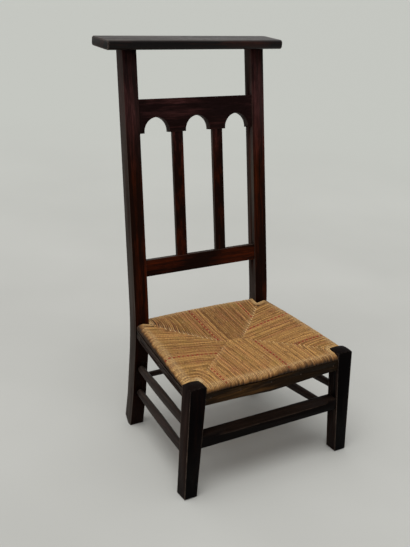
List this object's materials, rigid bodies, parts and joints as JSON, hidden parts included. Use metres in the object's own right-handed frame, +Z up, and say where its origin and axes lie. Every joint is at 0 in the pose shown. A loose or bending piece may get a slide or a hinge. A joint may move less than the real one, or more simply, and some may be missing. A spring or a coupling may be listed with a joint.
{
  "type": "prie-dieu",
  "caption": "Low kneeling chair with a woven rush seat, tapered splayed legs and a tall raked back, whose arcaded rail and slats stand below a wide flat rest for the elbows.",
  "frame": {"origin": "on the floor, under the middle of the chair's bounding box", "axes": "+X to the right as seen from the front, +Y towards the back, +Z up"},
  "size_m": [0.465, 0.4966, 0.9],
  "materials": {
    "dark_wood": "stained nearly black, waxed, worn to red-brown on the edges",
    "strip_wood": "brown, dull, worn",
    "rush": "twisted straw, satin, with a few red-brown strands",
    "stuffing": "loose dry straw",
    "nail_iron": "dark iron, slightly rusted"
  },
  "bodies": {
    "root": {"back_post_left": "dark_wood", "back_post_right": "dark_wood", "front_leg_left": "dark_wood", "front_leg_right": "dark_wood", "elbow_rest": "dark_wood", "arcaded_rail": "dark_wood", "cross_rail": "dark_wood", "back_slat_left": "dark_wood", "back_slat_right": "dark_wood", "front_stretcher": "dark_wood", "back_stretcher": "dark_wood", "upper_rung_left": "dark_wood", "upper_rung_right": "dark_wood", "lower_rung_left": "dark_wood", "lower_rung_right": "dark_wood", "seat_rail_front": "dark_wood", "seat_rail_back": "dark_wood", "seat_rail_left": "dark_wood", "seat_rail_right": "dark_wood", "seat_strip_left": "dark_wood", "seat_strip_right": "dark_wood", "seat_strip_front": "strip_wood", "rush_seat": "rush", "strip_nails": "nail_iron", "stuffing_front": "stuffing", "stuffing_back": "stuffing", "stuffing_left": "stuffing", "stuffing_right": "stuffing"}
  },
  "joints": []
}
